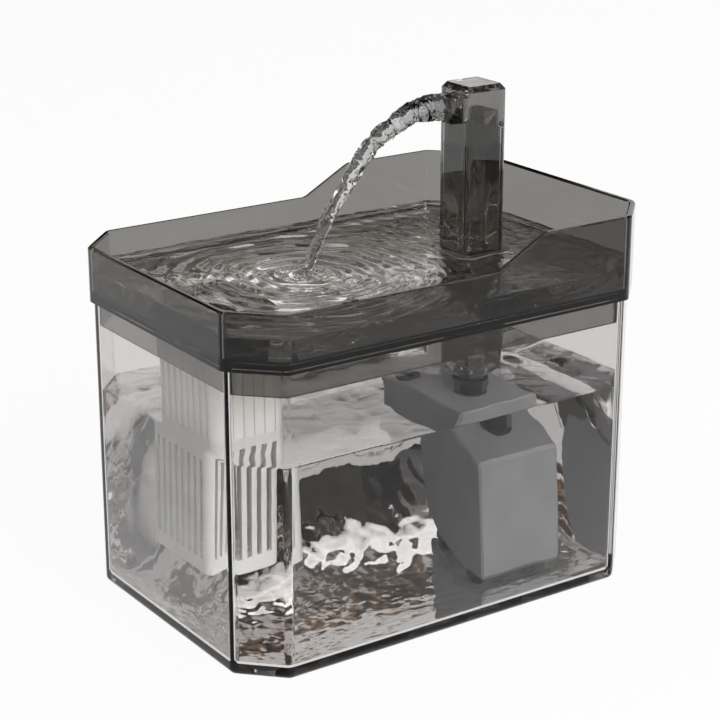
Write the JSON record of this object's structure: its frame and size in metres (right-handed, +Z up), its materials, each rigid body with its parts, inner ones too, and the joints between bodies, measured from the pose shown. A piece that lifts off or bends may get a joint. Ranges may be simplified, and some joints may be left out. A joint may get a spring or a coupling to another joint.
{
  "type": "pet water fountain",
  "caption": "Clear pet water fountain: a tank, a stepped drinking tray with a filter well, a square pouring tower, a slatted filter cage and a submersible pump.",
  "frame": {"origin": "on the table under the middle of the object's outline, at the underside of the foot pads", "axes": "+Z up, -Y is the side the water pours towards, +X along the short side of the tank"},
  "size_m": [0.136, 0.1934, 0.201],
  "materials": {
    "clear_acrylic": "clear polished acrylic with a light smoke tint",
    "smoke_acrylic": "dark smoke acrylic, polished",
    "clear_tower": "clear acrylic with a faint smoke tint",
    "white_plastic": "moulded white polypropylene",
    "grey_plastic": "satin grey ABS",
    "dark_plastic": "satin black ABS",
    "soft_rubber": "translucent grey silicone rubber",
    "silicone": "moulded silicone seal",
    "black_rubber": "black moulded rubber",
    "yellow_foam": "open-cell filter foam",
    "board": "glass-epoxy circuit board",
    "steel": "stack of electrical-steel laminations",
    "copper": "enamelled copper winding",
    "ceramic": "polished ceramic shaft",
    "magnet": "sintered ferrite ring magnet"
  },
  "bodies": {
    "base": {"tank": "clear_acrylic", "foot_pads": "soft_rubber", "suction_cups": "soft_rubber", "pump_housing": "grey_plastic", "pump_back_plate": "grey_plastic", "driver_board": "board", "stator_core": "steel", "stator_coil": "copper", "rear_bush": "silicone", "front_bush": "silicone", "rotor_shaft": "ceramic", "volute_plate": "grey_plastic", "chamber_seal": "silicone", "cord_grommet": "black_rubber", "outlet_collar": "clear_tower", "outlet_tube": "black_rubber"},
    "tray": {"tray": "smoke_acrylic"},
    "tower": {"tower": "clear_tower", "tower_gasket": "silicone"},
    "cap": {"spout_cap": "clear_tower"},
    "cage": {"filter_cage": "white_plastic"},
    "sponge": {"filter_sponge": "yellow_foam"},
    "rotor": {"impeller": "white_plastic", "rotor_magnet": "magnet"},
    "cover": {"intake_cover": "grey_plastic"},
    "gate": {"flow_gate": "dark_plastic"}
  },
  "joints": [
    {"name": "tray_lift", "type": "slide", "parent": "base", "child": "tray", "axis": [0, 0, 1], "range_m": [0, 0.11]},
    {"name": "tower_lift", "type": "slide", "parent": "tray", "child": "tower", "axis": [0, 0, 1], "range_m": [0, 0.085]},
    {"name": "cap_lift", "type": "slide", "parent": "tower", "child": "cap", "axis": [0, 0, 1], "range_m": [0, 0.02]},
    {"name": "cage_drop", "type": "slide", "parent": "tray", "child": "cage", "axis": [0, 0, -1], "range_m": [0, 0.024]},
    {"name": "sponge_lift", "type": "slide", "parent": "cage", "child": "sponge", "axis": [0, 0, 1], "range_m": [0, 0.07]},
    {"name": "impeller_spin", "type": "hinge", "parent": "base", "child": "rotor", "pos_m": [0, 0.053, 0.025], "axis": [1, 0, 0], "continuous": true},
    {"name": "cover_pull", "type": "slide", "parent": "base", "child": "cover", "axis": [1, 0, 0], "range_m": [0, 0.03]},
    {"name": "gate_slide", "type": "slide", "parent": "cover", "child": "gate", "axis": [0, 0, 1], "range_m": [0, 0.006]}
  ]
}
